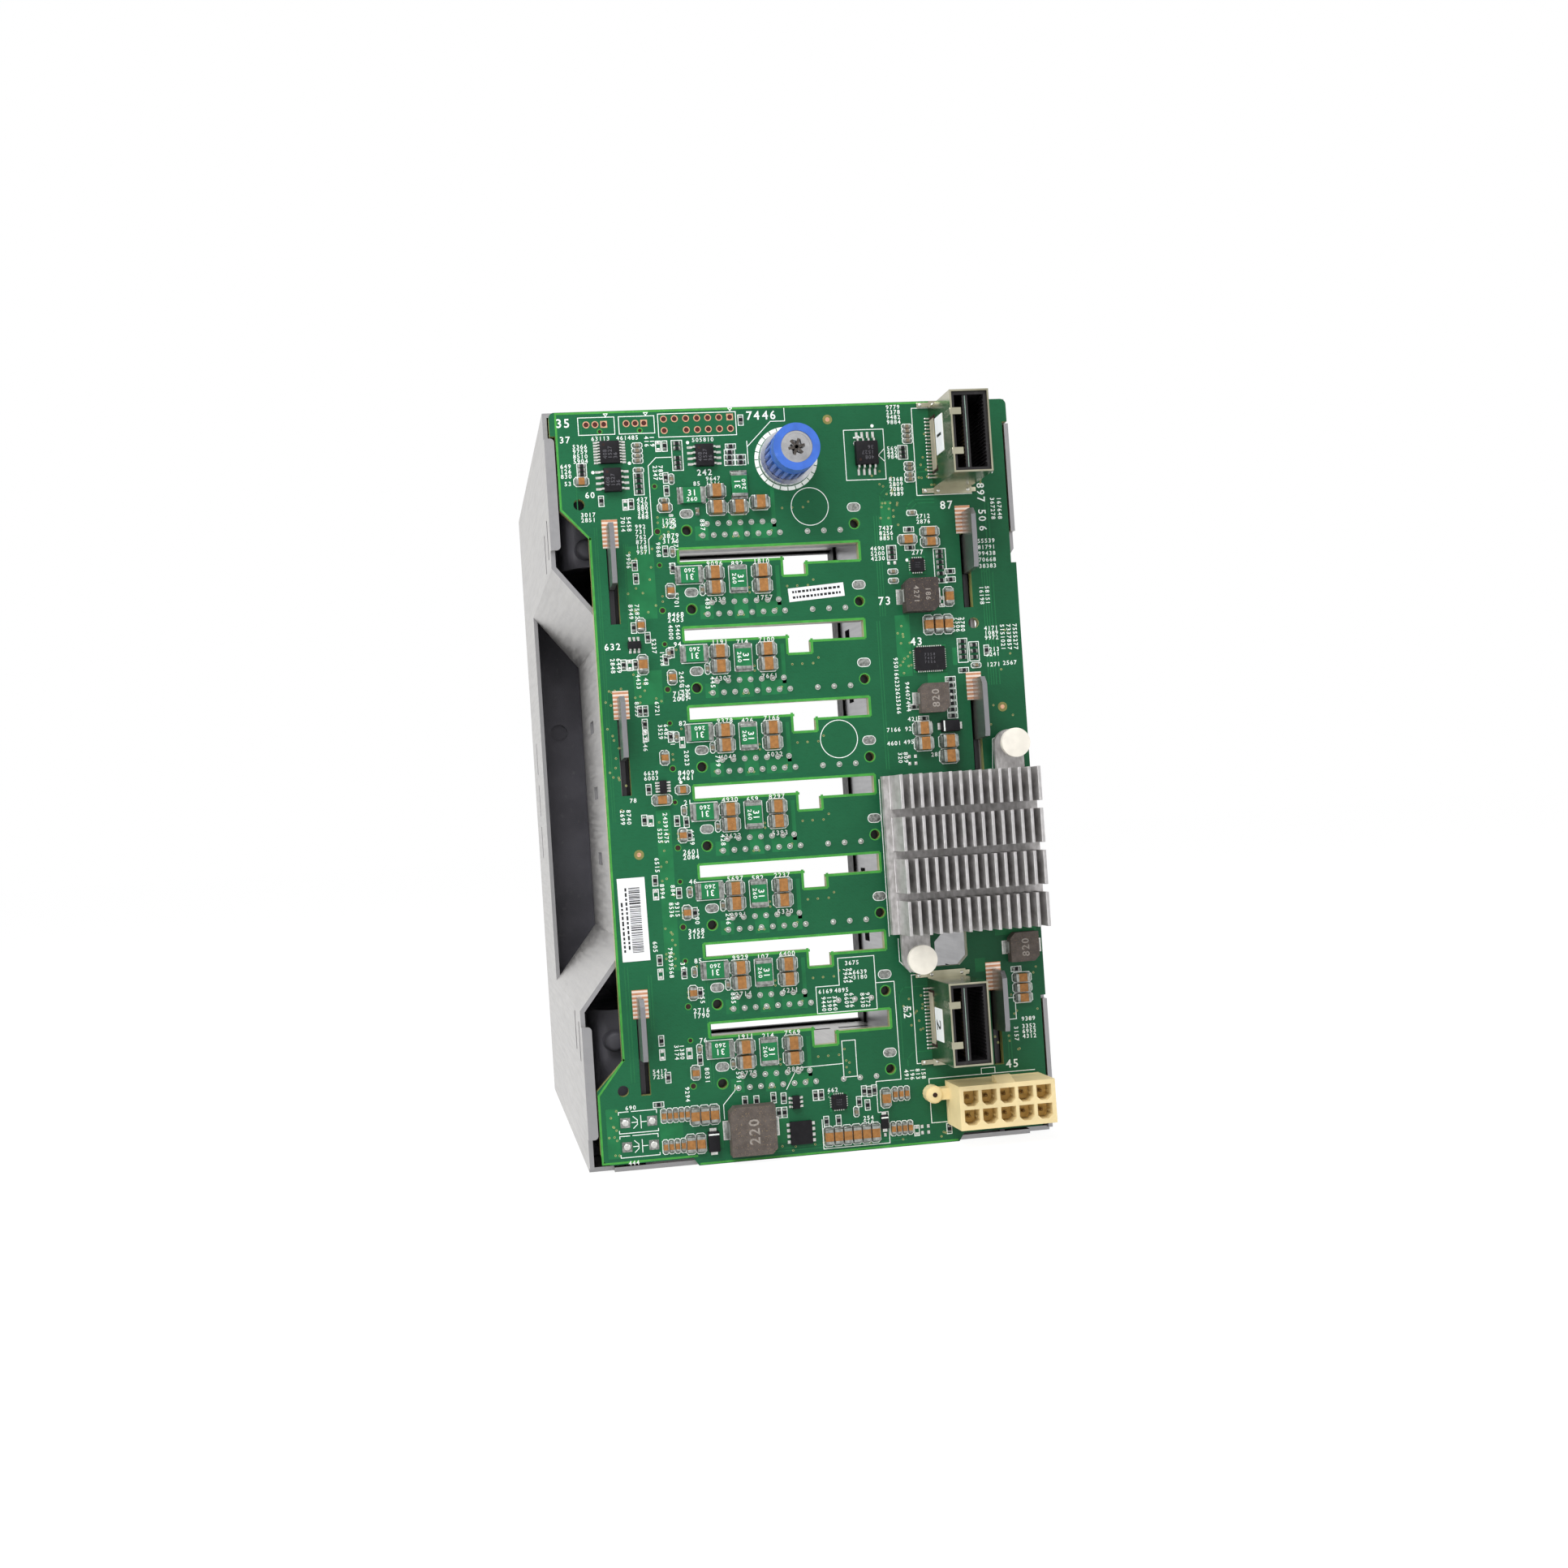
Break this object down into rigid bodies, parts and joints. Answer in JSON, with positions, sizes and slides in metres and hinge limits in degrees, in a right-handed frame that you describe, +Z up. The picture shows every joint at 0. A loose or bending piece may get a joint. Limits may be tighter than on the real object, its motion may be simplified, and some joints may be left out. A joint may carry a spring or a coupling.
{
  "type": "drive cage backplane assembly",
  "caption": "Upright green drive backplane board with heat sink, cable and power connectors, held by hooks and a captive thumbscrew on the rear of a sheet steel drive cage.",
  "frame": {"origin": "middle of the cage's underside", "axes": "+Z up, +Y towards the cage's open front, -Y out of the board's component side, +X to the right seen from the board's side"},
  "size_m": [0.107, 0.178, 0.1702],
  "materials": {
    "board": "green solder mask",
    "pad_copper": "tinned copper",
    "cage_steel": "galvanised sheet",
    "liner_plastic": "fine texture",
    "trim_plastic": "satin",
    "ferrule_steel": "plated",
    "knob_plastic": "satin",
    "screw_steel": "turned",
    "chip_plastic": "moulded",
    "pad_grey": "soft",
    "sink_aluminium": "milled",
    "pin_nylon": "satin",
    "shell_steel": "plated",
    "connector_black": "moulded",
    "power_nylon": "natural nylon",
    "terminal_brass": "plated",
    "coil_ferrite": "pressed powder",
    "capacitor_tan": "ceramic with tinned ends",
    "fuse_green": "laminate with tinned ends",
    "label_paper": "paper"
  },
  "bodies": {
    "cage": {"circuit_board": "board", "hook_pads": "pad_copper", "cage_shell": "cage_steel", "drive_space_top": "cage_steel", "drive_space_bottom": "cage_steel", "guide_wall_left": "cage_steel", "guide_wall_right": "cage_steel", "side_liner_left": "liner_plastic", "side_liner_right": "liner_plastic", "front_trim": "trim_plastic", "screw_ferrule": "ferrule_steel", "tab_nut": "screw_steel", "expander_chip": "chip_plastic", "thermal_pad": "pad_grey", "heat_sink": "sink_aluminium", "heat_sink_pins": "pin_nylon", "cable_connector_out_shell": "shell_steel", "cable_connector_out_core": "connector_black", "cable_connector_in_shell": "shell_steel", "cable_connector_in_core": "connector_black", "power_header": "power_nylon", "power_header_pins": "terminal_brass", "inductor_supply": "coil_ferrite", "inductor_upper": "coil_ferrite", "inductor_pair": "coil_ferrite", "bay_capacitors": "capacitor_tan", "bay_polyfuses": "fuse_green", "supply_capacitors": "capacitor_tan", "signal_capacitors": "capacitor_tan", "tiny_capacitors": "capacitor_tan", "control_chips": "chip_plastic", "flat_chips": "chip_plastic", "diodes": "chip_plastic", "labels": "label_paper", "drive_connector_1": "connector_black", "drive_connector_2": "connector_black", "drive_connector_3": "connector_black", "drive_connector_4": "connector_black", "drive_connector_5": "connector_black", "drive_connector_6": "connector_black", "drive_connector_7": "connector_black", "drive_connector_8": "connector_black"},
    "thumbscrew": {"thumbscrew_knob": "knob_plastic", "thumbscrew_shaft": "screw_steel"}
  },
  "joints": [
    {"name": "thumbscrew_turn", "type": "hinge", "parent": "cage", "child": "thumbscrew", "pos_m": [0.00084, -0.09485, 0.15767], "axis": [0, -1, 0], "range_deg": [0, 2160]}
  ]
}
